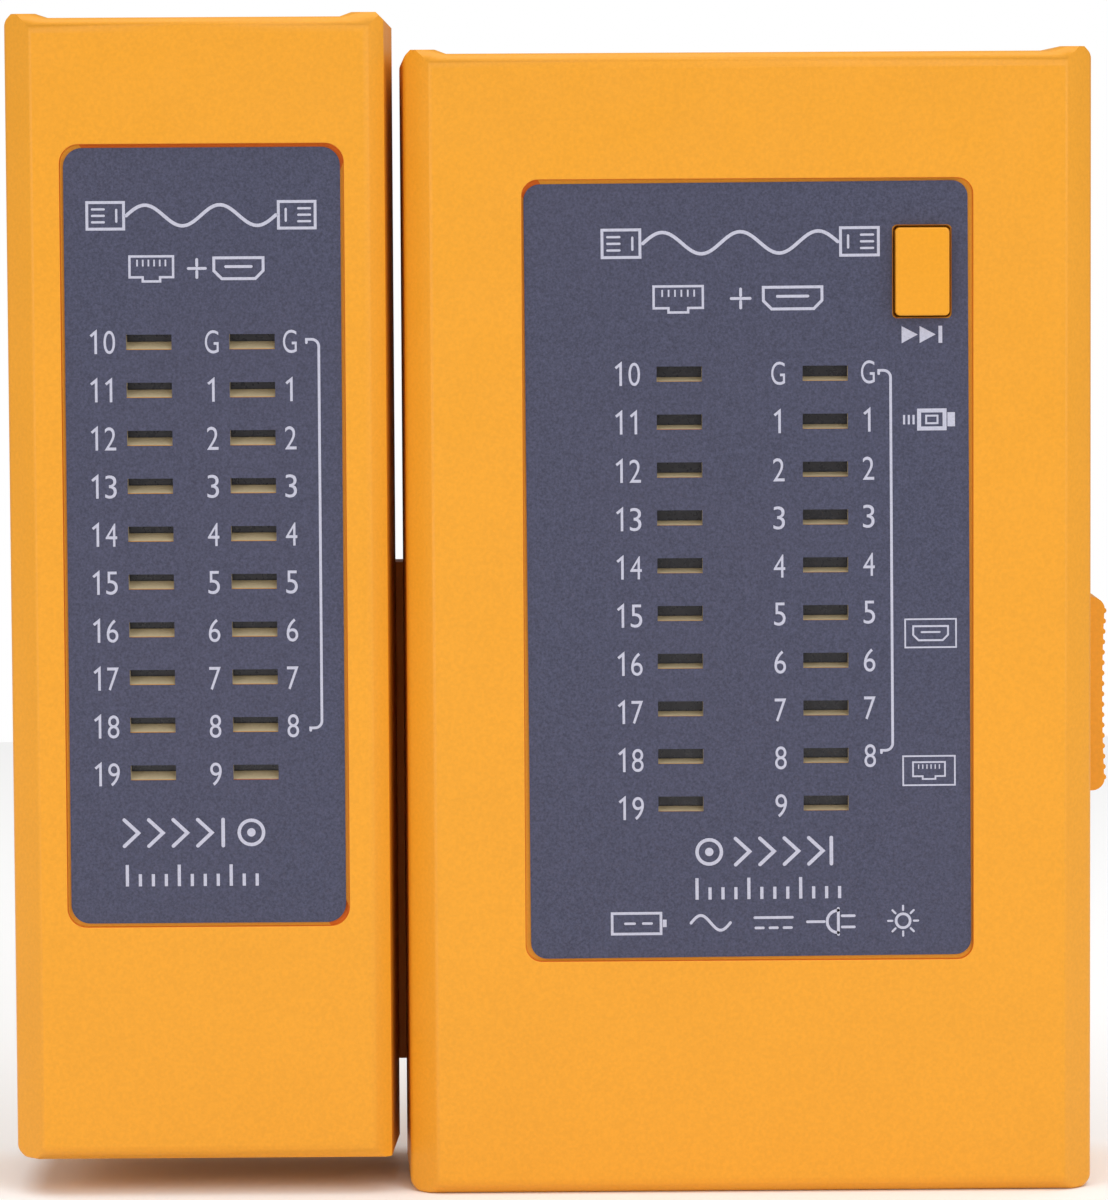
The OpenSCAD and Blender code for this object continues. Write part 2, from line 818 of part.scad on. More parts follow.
module battery_terminals() color([0.75, 0.75, 0.77]) master_frame() {
    x_cylinder(2.85, terminal_y, terminal_z - terminal_offset, battery_end - terminal_l, battery_end);
    difference() {
        x_cylinder(4, terminal_y, terminal_z + terminal_offset, battery_end - terminal_l, battery_end);
        x_cylinder(2.95, terminal_y, terminal_z + terminal_offset, battery_end - 10, battery_end - 0.4);
    }
}

module battery_snap() color([0.1, 0.1, 0.1]) master_frame() {
    face = battery_end - 0.3;
    difference() {
        block([face - snap_t, battery_y + 0.6, battery_z + 0.6],
            [face, battery_y + battery_size[1] - 0.6, battery_z + battery_size[2] - 0.6]);
        x_cylinder(3.05, terminal_y, terminal_z - terminal_offset, face - 2.5, face + 1);
        x_cylinder(4.2, terminal_y, terminal_z + terminal_offset, face - 2.5, face + 1);
    }
}

// Insulated wire through a list of points
lead_r = 0.6;

module lead(points) {
    for (i = [0:len(points) - 2]) {
        step = points[i + 1] - points[i];
        translate(points[i]) rotate([0, acos(step[2] / norm(step)), atan2(step[1], step[0])])
            cylinder(r = lead_r, h = norm(step), $fn = 24);
    }
    for (i = [1:len(points) - 2]) {
        translate(points[i]) sphere(lead_r, $fn = 24);
    }
}

// Route of a lead: out of the snap connector, up through the compartment's wall, forward to the board
function lead_route(x, z) = let (snap_end = battery_end - 0.3 - snap_t, y = bay_y + 4.2) [
    [snap_end, y + 2, z],
    [x, y + 2, z],
    [x, y + 2, bay_z[1] - 2.5],
    [x, y, bay_z[1] - 0.5],
    [x, y, bay_z[1] + 4.5],
    [x, board_back, bay_z[1] + 4.5]
];

module battery_lead_positive() color([0.7, 0.08, 0.06]) master_frame() {
    lead(lead_route(-bay_x + 0.7, terminal_z - 3));
}

module battery_lead_negative() color([0.08, 0.08, 0.08]) master_frame() {
    lead(lead_route(-bay_x + 2, terminal_z + 6));
}

// ---- Fasteners and dock rail ----

module master_case_screws() color([0.7, 0.7, 0.72]) master_frame() {
    for (p = master_screws) y_screw(p[0], p[1], screw_r, screw_tip_y, screw_seat_y, head_r, head_t);
}

module remote_case_screws() color([0.7, 0.7, 0.72]) remote_frame() {
    for (p = remote_screws) y_screw(p[0], p[1], screw_r, screw_tip_y, screw_seat_y, head_r, head_t);
}

module master_board_screws() color([0.7, 0.7, 0.72]) master_frame() {
    for (p = master_board_screw_points) {
        y_screw(p[0], p[1], small_screw_r, board_y - 3.6, board_back, small_head_r, small_head_t);
    }
}

module remote_board_screws() color([0.7, 0.7, 0.72]) remote_frame() {
    for (p = remote_board_screw_points) {
        y_screw(p[0], p[1], small_screw_r, board_y - 3.6, board_back, small_head_r, small_head_t);
    }
}

module dock_rail() color([0.75, 0.3, 0.08]) master_frame() difference() {
    union() {
        block([rail_neck_x, rail_y - rail_foot / 2, rail_z],
            [rail_foot_x, rail_y + rail_foot / 2, rail_z + rail_l]);
        block([rail_head_x - eps, rail_y - rail_neck / 2, rail_z],
            [rail_neck_x + eps, rail_y + rail_neck / 2, rail_z + rail_l]);
        block([rail_end_x, rail_y - rail_head / 2, rail_z],
            [rail_head_x, rail_y + rail_head / 2, rail_z + rail_l]);
    }
    for (z = rail_screw_z) {
        x_cylinder(small_pilot_r, rail_y, z, rail_end_x + 1, rail_foot_x + 1);
    }
}

// Screws that hold the rail, put in from inside the master
module rail_screws() color([0.7, 0.7, 0.72]) master_frame() {
    seat = -master_w / 2 + wall + rail_pad;
    for (z = rail_screw_z) {
        x_cylinder(small_screw_r, rail_y, z, seat - 5.2, seat + eps);
        x_cylinder(small_head_r, rail_y, z, seat, seat + small_head_t);
    }
}

master_front_shell();
master_back_shell();
master_overlay();
function_button();
switch_plunger();
tactile_switch();
slide_knob();
switch_actuator();
slide_switch();
master_board();
master_leds();
master_chips();
master_resistors();
master_capacitor();
master_network_socket();
master_network_contacts();
master_display_socket();
master_display_tongue();
power_inlet();
power_tongue();
battery_door();
battery();
battery_terminals();
battery_snap();
battery_lead_positive();
battery_lead_negative();
master_case_screws();
master_board_screws();
dock_rail();
rail_screws();
remote_front_shell();
remote_back_shell();
remote_overlay();
remote_board();
remote_leds();
remote_resistors();
remote_network_socket();
remote_network_contacts();
remote_display_socket();
remote_display_tongue();
remote_case_screws();
remote_board_screws();
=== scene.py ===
"""Looks of the two-piece network cable tester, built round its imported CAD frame.

Lengths are written in millimetres and turned into metres by MM. Each unit has its own local frame, as in the
CAD: x from the middle of its width, y from its front face towards the back, z from its bottom end.
"""

import json
import math

import bmesh
import bpy
from mathutils import Matrix, Vector

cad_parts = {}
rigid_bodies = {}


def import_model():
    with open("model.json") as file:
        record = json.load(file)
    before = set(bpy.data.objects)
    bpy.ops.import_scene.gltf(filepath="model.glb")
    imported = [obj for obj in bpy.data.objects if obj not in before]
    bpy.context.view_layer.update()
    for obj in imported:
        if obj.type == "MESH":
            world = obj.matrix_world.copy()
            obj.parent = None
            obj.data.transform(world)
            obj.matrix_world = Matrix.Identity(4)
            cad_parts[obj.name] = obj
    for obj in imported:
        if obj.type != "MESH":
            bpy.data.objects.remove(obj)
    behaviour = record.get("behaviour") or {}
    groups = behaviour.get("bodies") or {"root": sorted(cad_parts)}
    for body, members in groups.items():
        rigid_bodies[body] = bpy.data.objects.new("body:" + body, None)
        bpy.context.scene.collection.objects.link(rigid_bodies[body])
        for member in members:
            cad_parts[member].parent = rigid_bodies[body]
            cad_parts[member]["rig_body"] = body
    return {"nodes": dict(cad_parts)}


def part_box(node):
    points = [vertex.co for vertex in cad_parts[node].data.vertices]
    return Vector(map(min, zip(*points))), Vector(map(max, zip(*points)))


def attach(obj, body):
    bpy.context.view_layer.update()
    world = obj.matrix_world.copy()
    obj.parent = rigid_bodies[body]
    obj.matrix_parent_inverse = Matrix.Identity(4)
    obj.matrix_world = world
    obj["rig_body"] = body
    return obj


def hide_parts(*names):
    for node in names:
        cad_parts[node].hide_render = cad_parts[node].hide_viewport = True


MM = 0.001

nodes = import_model()["nodes"]
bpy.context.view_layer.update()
scene = bpy.context.scene
scene.view_settings.view_transform = "Standard"
scene.view_settings.look = "None"


# ---------------------------------------------------------------- places taken from the CAD frame


class Unit:
    """One case: its local frame, and the places of its LED rows."""

    def __init__(self, name, pad):
        lo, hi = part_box(name + "_front_shell")
        self.name = name
        self.x = (lo.x + hi.x) / 2
        self.y = lo.y
        self.z = lo.z
        self.w = (hi.x - lo.x) / MM
        self.h = (hi.z - lo.z) / MM - pad
        led_lo, led_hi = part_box(name + "_leds")
        self.led_low = (led_lo.z - self.z) / MM + 1.2
        self.led_top = (led_hi.z - self.z) / MM - 1.2
        self.pitch = (self.led_top - self.led_low) / 9
        self.columns = (
            (led_lo.x - self.x) / MM + 2.7,
            (led_hi.x - self.x) / MM - 2.7,
        )

    def at(self, x, y, z):
        return Vector((self.x + x * MM, self.y + y * MM, self.z + z * MM))

    def local(self, p):
        return ((p[0] - self.x) / MM, (p[1] - self.y) / MM, (p[2] - self.z) / MM)

    def row(self, i):
        return self.led_top - self.pitch * i


PAD_H = 0.45  # ears above each case's top end
PART_Y = 16.0  # parting line between the front and back shells
CASE_D = 32.0
RECESS_D = 0.6  # recess for the overlay
OVERLAY_Y = 0.35  # the overlay's printed face
master = Unit("master", PAD_H)
remote = Unit("remote", PAD_H)


# ---------------------------------------------------------------- camera, light and floor


def make_camera():
    data = bpy.data.cameras.new("camera")
    data.sensor_fit = "HORIZONTAL"
    data.sensor_width = 36.0
    data.lens = 191.9
    data.clip_start = 0.02
    data.clip_end = 20.0
    cam = bpy.data.objects.new("camera", data)
    scene.collection.objects.link(cam)
    yaw, pitch, roll = (math.radians(a) for a in (0.469, -4.184, -0.327))
    look = Vector(
        (math.sin(yaw) * math.cos(pitch), math.cos(yaw) * math.cos(pitch), math.sin(pitch))
    )
    side = Vector((math.cos(yaw), -math.sin(yaw), 0.0))
    up = side.cross(look)
    right = side * math.cos(roll) + up * math.sin(roll)
    top = up * math.cos(roll) - side * math.sin(roll)
    turn = Matrix((right, top, -look)).transposed().to_4x4()
    cam.matrix_world = Matrix.Translation(Vector((-5.85, -640.0, 109.32)) * MM) @ turn
    scene.camera = cam
    return cam


def area_light(name, place, target, size, power, colour=(1.0, 1.0, 1.0)):
    data = bpy.data.lights.new(name, "AREA")
    data.shape = "RECTANGLE"
    data.size, data.size_y = size
    data.energy = power
    data.color = colour
    lamp = bpy.data.objects.new(name, data)
    scene.collection.objects.link(lamp)
    lamp.location = place
    aim = Vector(target) - Vector(place)
    lamp.rotation_euler = aim.to_track_quat("-Z", "Y").to_euler()
    return lamp


def make_studio():
    world = bpy.data.worlds.new("studio")
    scene.world = world
    world.use_nodes = True
    tree = world.node_tree
    tree.nodes.clear()
    out = tree.nodes.new("ShaderNodeOutputWorld")
    mix = tree.nodes.new("ShaderNodeMixShader")
    fill = tree.nodes.new("ShaderNodeBackground")
    fill.inputs["Color"].default_value = (1.0, 1.0, 1.0, 1.0)
    fill.inputs["Strength"].default_value = 0.35
    seen = tree.nodes.new("ShaderNodeBackground")
    seen.inputs["Color"].default_value = (1.0, 1.0, 1.0, 1.0)
    seen.inputs["Strength"].default_value = 1.0
    path = tree.nodes.new("ShaderNodeLightPath")
    tree.links.new(path.outputs["Is Camera Ray"], mix.inputs["Fac"])
    tree.links.new(fill.outputs["Background"], mix.inputs[1])
    tree.links.new(seen.outputs["Background"], mix.inputs[2])
    tree.links.new(mix.outputs["Shader"], out.inputs["Surface"])

    area_light("overhead", (0.0, -0.15, 1.3), (0.0, 0.0, 0.0), (1.6, 1.6), 14.6)
    area_light("key", (0.55, -1.1, 0.75), (0.0, 0.0, 0.07), (0.7, 0.7), 4.3, (1.0, 0.99, 0.97))
    area_light("fill_left", (-0.9, -0.8, 0.3), (0.0, 0.0, 0.06), (0.6, 0.8), 4.3, (1.0, 0.93, 0.86))
    area_light("fill_right", (0.95, -0.6, 0.3), (0.0, 0.0, 0.06), (0.5, 0.8), 2.3, (1.0, 1.0, 1.0))

    mesh = bpy.data.meshes.new("floor")
    bm = bmesh.new()
    bmesh.ops.create_circle(bm, cap_ends=True, segments=96, radius=0.5)
    bm.to_mesh(mesh)
    bm.free()
    floor = bpy.data.objects.new("floor", mesh)
    scene.collection.objects.link(floor)
    material = bpy.data.materials.new("pale_floor")
    material.use_nodes = True
    shader = material.node_tree.nodes["Principled BSDF"]
    shader.inputs["Base Color"].default_value = (0.98, 0.98, 0.98, 1.0)
    shader.inputs["Roughness"].default_value = 0.9
    shader.inputs["Specular IOR Level"].default_value = 0.1
    mesh.materials.append(material)


make_camera()
make_studio()


# ---------------------------------------------------------------- materials


def linear(r, g, b):
    """sRGB 0..255 to linear, with alpha."""

    def one(c):
        c /= 255.0
        return c / 12.92 if c <= 0.04045 else ((c + 0.055) / 1.055) ** 2.4

    return (one(r), one(g), one(b), 1.0)


class Surface:
    """A Principled material built from noise in object space, whose lengths are in millimetres."""

    def __init__(self, name, base, rough, metallic=0.0, ior=1.47, specular=0.5):
        self.material = bpy.data.materials.new(name)
        self.material.use_nodes = True
        self.tree = self.material.node_tree
        self.shader = self.tree.nodes["Principled BSDF"]
        self.shader.inputs["Metallic"].default_value = metallic
        self.shader.inputs["IOR"].default_value = ior
        self.shader.inputs["Specular IOR Level"].default_value = specular
        self.base = base
        self.rough = rough
        self.colour_out = None
        self.height = None
        self.coords = self.tree.nodes.new("ShaderNodeTexCoord").outputs["Object"]

    def link(self, a, b):
        self.tree.links.new(a, b)

    def noise(self, size, detail=2.0, roughness=0.5, stretch=(1, 1, 1)):
        """Noise whose features are about size millimetres across; output 0..1."""
        where = self.coords
        if stretch != (1, 1, 1):
            mapping = self.tree.nodes.new("ShaderNodeMapping")
            mapping.inputs["Scale"].default_value = stretch
            self.link(where, mapping.inputs["Vector"])
            where = mapping.outputs["Vector"]
        n = self.tree.nodes.new("ShaderNodeTexNoise")
        n.inputs["Scale"].default_value = 1.0 / (size * MM)
        n.inputs["Detail"].default_value = detail
        n.inputs["Roughness"].default_value = roughness
        self.link(where, n.inputs["Vector"])
        return n.outputs["Fac"]

    def ramp(self, value, low, high, start=0.3, end=0.7):
        m = self.tree.nodes.new("ShaderNodeMapRange")
        m.inputs["From Min"].default_value = start
        m.inputs["From Max"].default_value = end
        m.inputs["To Min"].default_value = low
        m.inputs["To Max"].default_value = high
        self.link(value, m.inputs["Value"])
        return m.outputs["Result"]

    def math(self, kind, a, b):
        m = self.tree.nodes.new("ShaderNodeMath")
        m.operation = kind
        for socket, v in ((m.inputs[0], a), (m.inputs[1], b)):
            if isinstance(v, (int, float)):
                socket.default_value = v
            else:
                self.link(v, socket)
        return m.outputs["Value"]

    def blend_colour(self, factor, other):
        """Moves the colour towards other by a 0..1 value."""
        m = self.tree.nodes.new("ShaderNodeMix")
        m.data_type = "RGBA"
        if isinstance(factor, (int, float)):
            m.inputs["Factor"].default_value = factor
        else:
            self.link(factor, m.inputs["Factor"])
        a, b = [s for s in m.inputs if s.name in ("A", "B") and s.type == "RGBA"]
        if self.colour_out is None:
            a.default_value = self.base
        else:
            self.link(self.colour_out, a)
        b.default_value = other
        self.colour_out = [s for s in m.outputs if s.type == "RGBA"][0]

    def shade(self, value):
        """Multiplies the colour's brightness by a value near 1."""
        h = self.tree.nodes.new("ShaderNodeHueSaturation")
        if self.colour_out is None:
            h.inputs["Color"].default_value = self.base
        else:
            self.link(self.colour_out, h.inputs["Color"])
        self.link(value, h.inputs["Value"])
        self.colour_out = h.outputs["Color"]

    def bump(self, value, depth, strength=1.0):
        """Adds relief: depth is the height in millimetres of a full step in value."""
        b = self.tree.nodes.new("ShaderNodeBump")
        b.inputs["Strength"].default_value = strength
        b.inputs["Distance"].default_value = depth * MM
        self.link(value, b.inputs["Height"])
        if self.height is not None:
            self.link(self.height, b.inputs["Normal"])
        self.height = b.outputs["Normal"]

    def done(self, rough_value=None):
        if self.colour_out is None:
            self.shader.inputs["Base Color"].default_value = self.base
        else:
            self.link(self.colour_out, self.shader.inputs["Base Color"])
        if rough_value is None:
            self.shader.inputs["Roughness"].default_value = self.rough
        else:
            self.link(rough_value, self.shader.inputs["Roughness"])
        if self.height is not None:
            self.link(self.height, self.shader.inputs["Normal"])
        return self.material


def moulded(name, base, rough, grain=0.16, depth=0.006, mottle=0.02, speck=0.02, ior=1.47, specular=0.5):
    """Moulded plastic: fine spark-eroded grain, faint flow mottling and slightly uneven gloss."""
    s = Surface(name, base, rough, ior=ior, specular=specular)
    s.shade(s.ramp(s.noise(14, 3), 1 - mottle, 1 + mottle))
    s.shade(s.ramp(s.noise(0.35, 2), 1 - speck, 1 + speck))
    s.bump(s.noise(2.2, 2), depth * 1.5, 0.5)
    s.bump(s.noise(grain, 3, 0.6), depth)
    patches = s.ramp(s.noise(6, 2), rough - 0.05, rough + 0.05)
    gloss = s.math("ADD", patches, s.ramp(s.noise(0.3, 1), -0.04, 0.04))
    return s.done(gloss)


def metal(name, base, rough, scratch=0.05):
    """Plated metal: fine drawn scratches along Z and patches of uneven polish."""
    s = Surface(name, base, rough, metallic=1.0)
    s.shade(s.ramp(s.noise(1.8, 3), 0.9, 1.06))
    lines = s.noise(0.12, 2, 0.6, (1, 1, 0.04))
    s.bump(lines, 0.004)
    gloss = s.math("ADD", s.ramp(lines, rough - scratch, rough + scratch), s.ramp(s.noise(1.5, 2), -0.06, 0.06))
    return s.done(gloss)


ORANGE = linear(228, 155, 37)

orange = moulded("orange_plastic", ORANGE, 0.46, mottle=0.014, speck=0.04, specular=0.4)
orange_button = moulded(
    "button_plastic", linear(229, 155, 31), 0.4, depth=0.004, mottle=0.012, speck=0.03, specular=0.4
)
# The rail is orange plastic like the case, with its colour pushed deeper and redder as painted shade for the
# dim gap between the units.
rail_orange_painted_shade = moulded("rail_plastic", linear(232, 120, 22), 0.5, depth=0.006, specular=0.3)
# Deeper orange for the overlay recess's walls and rounded rim: painted shade in the recess.
recess_wall_painted_shade = moulded("groove_plastic", linear(214, 104, 16), 0.5, mottle=0.03, speck=0.04, specular=0.3)
sill = moulded(
    "sill_plastic", linear(186, 172, 142), 0.5, grain=0.12, depth=0.004, mottle=0.05, speck=0.05, specular=0.3
)
black = moulded("black_plastic", linear(34, 34, 37), 0.42, mottle=0.05, speck=0.05)
white = moulded("white_plastic", linear(226, 224, 214), 0.45, mottle=0.03, speck=0.02)


def film():
    """Printed polyester overlay: slate ink with a fine speckle under a satin skin."""
    s = Surface("overlay_film", linear(69, 71, 92), 0.5, ior=1.45, specular=0.3)
    s.shade(s.ramp(s.noise(0.26, 2, 0.7), 0.72, 1.28))
    s.shade(s.ramp(s.noise(0.5, 2), 0.965, 1.035))
    s.blend_colour(s.ramp(s.noise(22, 2), 0.0, 0.08), linear(84, 76, 93))
    s.bump(s.noise(0.22, 2, 0.6), 0.005)
    s.bump(s.noise(9, 1), 0.02, 0.4)
    return s.done(s.ramp(s.noise(0.8, 2), 0.44, 0.58))


def ink():
    """Light lavender-grey screen print with pinholes where the screen's mesh left them."""
    s = Surface("overlay_ink", linear(186, 187, 205), 0.55, specular=0.3)
    s.shade(s.ramp(s.noise(0.2, 2, 0.7), 0.9, 1.04))
    s.blend_colour(s.ramp(s.noise(0.13, 2, 0.6), 0.0, 0.4, 0.62, 0.75), linear(120, 122, 144))
    s.bump(s.noise(0.15, 2), 0.004)
    return s.done(s.ramp(s.noise(0.5, 1), 0.5, 0.62))


def led_resin():
    """LED block behind its window, painted dark as painted shade for the deep slot: smooth, with faint moulding
    ripples and dust.
    """
    # The dark grey base stands for the shade inside the slot, not the LED's own colour.
    s = Surface("led_resin", linear(56, 55, 62), 0.3, ior=1.5)
    s.shade(s.ramp(s.noise(1.1, 2), 0.8, 1.15))
    s.blend_colour(s.ramp(s.noise(0.12, 1), 0.0, 0.5, 0.68, 0.8), linear(110, 104, 98))
    s.bump(s.noise(0.9, 2), 0.01)
    return s.done(s.ramp(s.noise(0.6, 2), 0.2, 0.42))


def board_green():
    """Solder mask over faint copper tracks."""
    s = Surface("circuit_board", linear(24, 92, 52), 0.35)
    tracks = s.tree.nodes.new("ShaderNodeTexBrick")
    tracks.inputs["Scale"].default_value = 1.0 / (9 * MM)
    tracks.inputs["Mortar Size"].default_value = 0.05
    tracks.inputs["Color1"].default_value = (0, 0, 0, 1)
    tracks.inputs["Color2"].default_value = (0, 0, 0, 1)
    tracks.inputs["Mortar"].default_value = (1, 1, 1, 1)
    swap = s.tree.nodes.new("ShaderNodeMapping")
    swap.inputs["Rotation"].default_value = (math.radians(90), 0, 0)
    s.link(s.coords, swap.inputs["Vector"])
    s.link(swap.outputs["Vector"], tracks.inputs["Vector"])
    s.blend_colour(s.math("MULTIPLY", tracks.outputs["Color"], 0.6), linear(58, 134, 74))
    s.shade(s.ramp(s.noise(4, 3), 0.92, 1.06))
    s.bump(tracks.outputs["Color"], 0.03)
    s.bump(s.noise(0.5, 2), 0.006)
    return s.done(s.ramp(s.noise(2.0, 2), 0.28, 0.42))


steel = metal("plated_steel", linear(196, 197, 200), 0.3)
screw = metal("screw_steel", linear(168, 168, 172), 0.34)
gold = metal("gold_plate", linear(226, 178, 92), 0.26)
film_material = film()
ink_material = ink()
# The LED blocks are painted dark: painted shade for the deep slots.
led_painted_shade = led_resin()
board_material = board_green()
sleeve = moulded("capacitor_sleeve", linear(28, 34, 58), 0.3, grain=0.4, depth=0.004, mottle=0.06)
wrap = moulded("battery_wrap", linear(40, 44, 56), 0.28, grain=0.5, depth=0.004, mottle=0.08)
red_wire = moulded("red_insulation", linear(186, 24, 18), 0.36, grain=0.3, depth=0.004)
black_wire = moulded("black_insulation", linear(22, 22, 24), 0.4, grain=0.3, depth=0.004)


# ---------------------------------------------------------------- CAD shapes with rounded edges


def cad_copy(node):
    """The node's CAD mesh with its triangles merged back into whole flat faces."""
    bm = bmesh.new()
    bm.from_mesh(nodes[node].data)
    bmesh.ops.remove_doubles(bm, verts=bm.verts, dist=2e-6)
    bmesh.ops.dissolve_limit(bm, angle_limit=math.radians(0.4), verts=bm.verts, edges=bm.edges)
    return bm


def round_edges(bm, width, segments, wanted, least=20.0):
    """Rounds the sharp edges for which wanted(edge) is true."""
    chosen = []
    for e in bm.edges:
        if len(e.link_faces) == 2 and e.calc_face_angle(0.0) > math.radians(least) and wanted(e):
            chosen.append(e)
    if chosen:
        bmesh.ops.bevel(
            bm,
            geom=chosen,
            offset=width * MM,
            offset_type="OFFSET",
            segments=segments,
            profile=0.5,
            affect="EDGES",
            clamp_overlap=False,
            loop_slide=True,
        )


def add_piece(name, bm, material, node):
    """Turns bm into a piece that stands for a CAD node and rides on that node's body."""
    mesh = bpy.data.meshes.new(name)
    bm.normal_update()
    bm.to_mesh(mesh)
    bm.free()
    for m in material if isinstance(material, (list, tuple)) else [material]:
        mesh.materials.append(m)
    mesh.shade_smooth()
    mesh.set_sharp_from_angle(angle=math.radians(38))
    piece = bpy.data.objects.new(name, mesh)
    scene.collection.objects.link(piece)
    weighted = piece.modifiers.new("even_normals", "WEIGHTED_NORMAL")
    weighted.keep_sharp = True
    weighted.weight = 80
    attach(piece, nodes[node]["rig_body"])
    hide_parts(node)
    return piece


def shell(unit, which):
    """A case half: rounded outer edges, a softened parting line, tan sills in the LED slots, and the overlay
    recess's walls in a deeper orange that is painted shade.
    """
    node = unit.name + "_" + which + "_shell"
    bm = cad_copy(node)
    half = unit.w / 2

    def from_faces(v):
        """Distances in millimetres of a vertex from the case's front or back, its ends and its sides."""
        x, y, z = unit.local(v.co)
        return min(y, CASE_D - y), min(z, unit.h - z), half - abs(x)

    def on_outline(v):
        front, end, side = from_faces(v)
        if front < 3.2 and side < 3.9:
            return True
        return (front < 1.7 and end < 1.7) or (end < 1.7 and side < 2.1)

    def plain(v):
        """False where a small opening's edges meet the vertex."""
        return all(
            e.calc_length() > 0.9 * MM for e in v.link_edges if e.calc_face_angle(0.0) > math.radians(20)
        )

    def parting(v):
        return abs(unit.local(v.co)[1] - PART_Y) < 0.02

    def near_groove_mouth(v):
        x, y, z = unit.local(v.co)
        return x > half - 2.2 and z < 1.7 and y > PART_Y

    def outer(e):
        a, b = e.verts
        if which == "back" and all(unit.local(v.co)[1] > CASE_D - 0.02 for v in e.verts):
            return False  # the screw counterbores come right up to these edges
        if which == "back" and unit is remote and all(near_groove_mouth(v) for v in e.verts):
            return False
        return on_outline(a) and on_outline(b) and plain(a) and plain(b) and not (parting(a) and parting(b))

    def on_side_seam(v):
        _, end, side = from_faces(v)
        return parting(v) and side < 0.02 and end > 3

    def seam(e):
        return all(on_side_seam(v) for v in e.verts)

    def on_front_inside(v):
        _, end, side = from_faces(v)
        return unit.local(v.co)[1] < 0.01 and side > 4.5 and end > 8

    def recess_rim(e):
        """Edges where the front face drops into the overlay's recess."""
        depths = sorted(unit.local(f.calc_center_median())[1] for f in e.link_faces)
        return all(on_front_inside(v) for v in e.verts) and depths[0] < 0.01 < depths[1] < RECESS_D

    round_edges(bm, 0.45, 4, outer)
    if which == "front":
        round_edges(bm, 0.2, 2, recess_rim)
    round_edges(bm, 0.14, 2, seam, 15)
    for f in bm.faces:
        x, y, z = unit.local(f.calc_center_median())
        if which == "back":
            continue
        # The recess walls and rim take material 2, a deeper orange that is painted shade.
        if 0.08 < y < RECESS_D and half - abs(x) > 4.5 and 8 < z < unit.h - 8:
            f.material_index = 2
        if RECESS_D - 0.02 < y < 2.2:
            for c in unit.columns:
                if abs(x - c) < 2.45 and unit.row(9) - 1.0 < z < unit.row(0) + 1.0 and f.calc_area() < 9e-6:
                    f.material_index = 1
    # Material 2 is the painted shade of the recess walls.
    return add_piece(node + "_fine", bm, [orange, sill, recess_wall_painted_shade], node)


def fine(node, material, width, segments, wanted):
    """A CAD node with the sharp edges for which wanted(edge) is true rounded."""
    bm = cad_copy(node)
    round_edges(bm, width, segments, wanted, 35.0)
    return add_piece(node + "_fine", bm, material, node)


for unit in (master, remote):
    shell(unit, "front")
    shell(unit, "back")

def near_low_end(node, axis, margin):
    """Picks edges that lie within margin millimetres of the node's low end on an axis."""
    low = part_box(node)[0][axis]
    return lambda e: all(v.co[axis] < low + margin * MM for v in e.verts)


def at_sides(node):
    """Picks edges that run along the node's left, right or bottom side."""
    lo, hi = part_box(node)
    near = 0.01 * MM
    return lambda e: (
        all(v.co.x < lo.x + near for v in e.verts)
        or all(v.co.x > hi.x - near for v in e.verts)
        or all(v.co.z < lo.z + near for v in e.verts)
    )


button_front = near_low_end("function_button", 1, 1.5)
fine("function_button", orange_button, 0.22, 3, button_front)
fine("battery_door", orange, 0.12, 2, at_sides("battery_door"))
# The rail's deeper red-orange is partly painted shade.
fine("dock_rail", rail_orange_painted_shade, 0.2, 2, lambda e: e.calc_length() > 3 * MM)


def keep(node, material):
    """A CAD node that stays as it is and gets its material."""
    data = nodes[node].data
    data.materials.clear()
    data.materials.append(material)
    data.shade_smooth()
    data.set_sharp_from_angle(angle=math.radians(35))


for node, material in {
    "master_overlay": film_material,
    "remote_overlay": film_material,
    "slide_knob": orange,
    "switch_plunger": black,
    "tactile_switch": steel,
    "switch_actuator": white,
    "slide_switch": steel,
    "master_board": board_material,
    "remote_board": board_material,
    # The LED blocks get the dark colour that is painted shade.
    "master_leds": led_painted_shade,
    "remote_leds": led_painted_shade,
    "master_chips": black,
    "master_resistors": black,
    "remote_resistors": black,
    "master_capacitor": sleeve,
    "master_network_socket": black,
    "remote_network_socket": black,
    "master_network_contacts": gold,
    "remote_network_contacts": gold,
    "master_display_socket": steel,
    "remote_display_socket": steel,
    "master_display_tongue": black,
    "remote_display_tongue": black,
    "power_inlet": steel,
    "power_tongue": black,
    "battery": wrap,
    "battery_terminals": steel,
    "battery_snap": black,
    "battery_lead_positive": red_wire,
    "battery_lead_negative": black_wire,
    "master_case_screws": screw,
    "remote_case_screws": screw,
    "master_board_screws": screw,
    "remote_board_screws": screw,
    "rail_screws": screw,
}.items():
    keep(node, material)


# ---------------------------------------------------------------- printed marks


def glyph(text):
    """Outline faces of one character of the built-in font, as points and faces."""
    curve = bpy.data.curves.new("glyph", "FONT")
    curve.body = text
    curve.resolution_u = 6
    curve.offset = -0.004
    curve.fill_mode = "FRONT"
    obj = bpy.data.objects.new("glyph", curve)
    scene.collection.objects.link(obj)
    bpy.context.view_layer.update()
    mesh = bpy.data.meshes.new_from_object(obj.evaluated_get(bpy.context.evaluated_depsgraph_get()))
    points = [(v.co.x, v.co.y) for v in mesh.vertices]
    faces = [list(p.vertices) for p in mesh.polygons]
    bpy.data.objects.remove(obj)
    bpy.data.curves.remove(curve)
    bpy.data.meshes.remove(mesh)
    return points, faces


MARK_H = 2.45
DIGIT_W = 1.22
LETTER_W = 1.45
DIGIT_GAP = 0.34


